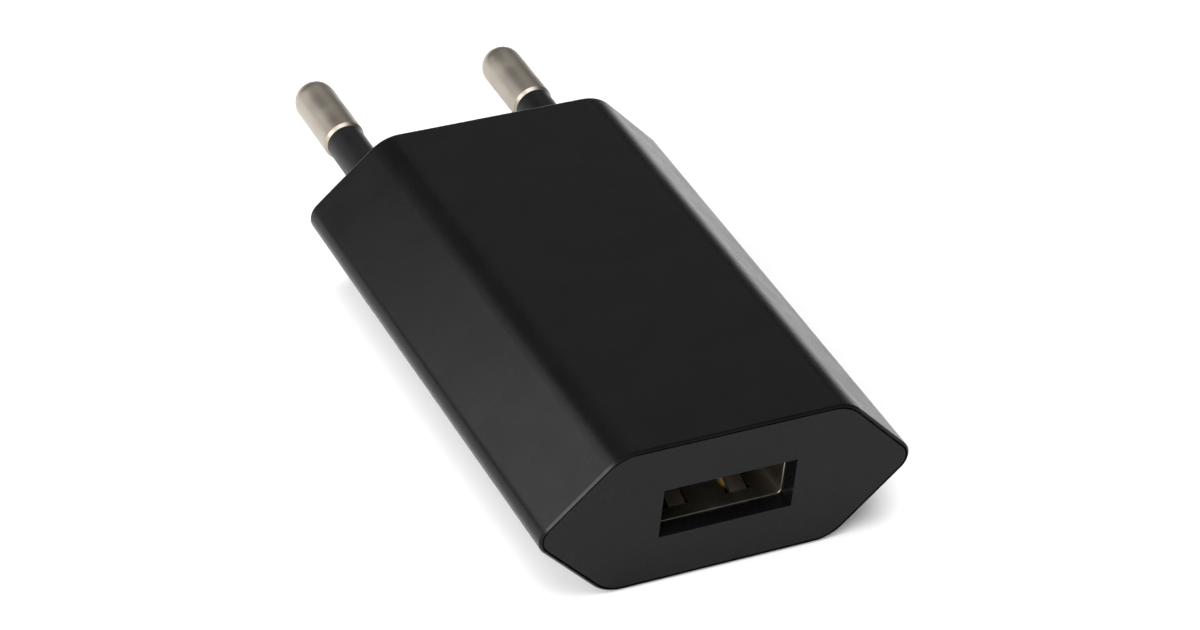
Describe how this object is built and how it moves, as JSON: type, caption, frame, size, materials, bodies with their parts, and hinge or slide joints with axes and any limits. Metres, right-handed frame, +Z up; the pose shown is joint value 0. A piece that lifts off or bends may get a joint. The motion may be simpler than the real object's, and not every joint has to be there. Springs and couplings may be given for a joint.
{
  "type": "usb wall charger",
  "caption": "Slim six-sided mains charger with round sleeved pins at one end and a USB type A socket in the cover at the other end.",
  "frame": {"origin": "under the middle of the overall box, on the surface that the charger lies on", "axes": "+Z up from the flat bottom, +Y along the mains pins towards their tips, the USB socket faces -Y, X across"},
  "size_m": [0.035, 0.068, 0.0148],
  "materials": {
    "casing_black": "satin moulded",
    "sleeve_black": "moulded, slightly soft",
    "pin_nickel": "nickel plated, turned",
    "socket_steel": "tin plated sheet",
    "socket_plastic": "moulded",
    "contact_gold": "thin gold plating",
    "leaf_bronze": "rolled phosphor bronze",
    "board_paper": "phenolic paper laminate",
    "solder_tin": "bright solder",
    "ferrite": "sintered, matt",
    "bobbin_plastic": "moulded phenolic",
    "copper_wire": "enamelled wire",
    "yellow_tape": "polyester film tape",
    "can_sleeve": "shrunk film sleeve over a can",
    "bung_rubber": "moulded rubber",
    "tinned_lead": "tinned wire",
    "resistor_coat": "flameproof coating",
    "chip_epoxy": "moulded epoxy",
    "disc_coat": "dipped coating",
    "chip_ceramic": "fired ceramic"
  },
  "bodies": {
    "root": {"body_shell": "casing_black", "front_cover": "casing_black", "pin_left": "pin_nickel", "pin_right": "pin_nickel", "pin_sleeve_left": "sleeve_black", "pin_sleeve_right": "sleeve_black", "contact_spring_left": "leaf_bronze", "contact_spring_right": "leaf_bronze", "usb_shell": "socket_steel", "usb_insulator": "socket_plastic", "usb_contact_vbus": "contact_gold", "usb_contact_data_minus": "contact_gold", "usb_contact_data_plus": "contact_gold", "usb_contact_ground": "contact_gold", "circuit_board": "board_paper", "solder_joints": "solder_tin", "transformer_core_front": "ferrite", "transformer_core_rear": "ferrite", "transformer_bobbin": "bobbin_plastic", "primary_winding": "copper_wire", "secondary_winding": "copper_wire", "core_tape": "yellow_tape", "transformer_pins": "tinned_lead", "input_capacitor_can": "can_sleeve", "input_capacitor_bung": "bung_rubber", "input_capacitor_leads": "tinned_lead", "output_capacitor_can": "can_sleeve", "output_capacitor_bung": "bung_rubber", "output_capacitor_leads": "tinned_lead", "fusible_resistor": "resistor_coat", "fusible_resistor_leads": "tinned_lead", "choke_core": "ferrite", "choke_winding": "copper_wire", "choke_leads": "tinned_lead", "bridge_rectifier": "chip_epoxy", "bridge_rectifier_legs": "tinned_lead", "output_diode": "chip_epoxy", "output_diode_caps": "tinned_lead", "y_capacitor": "disc_coat", "y_capacitor_leads": "tinned_lead", "controller_chip": "chip_epoxy", "controller_chip_legs": "tinned_lead", "smd_resistors": "chip_ceramic", "smd_capacitors": "chip_ceramic"}
  },
  "joints": []
}
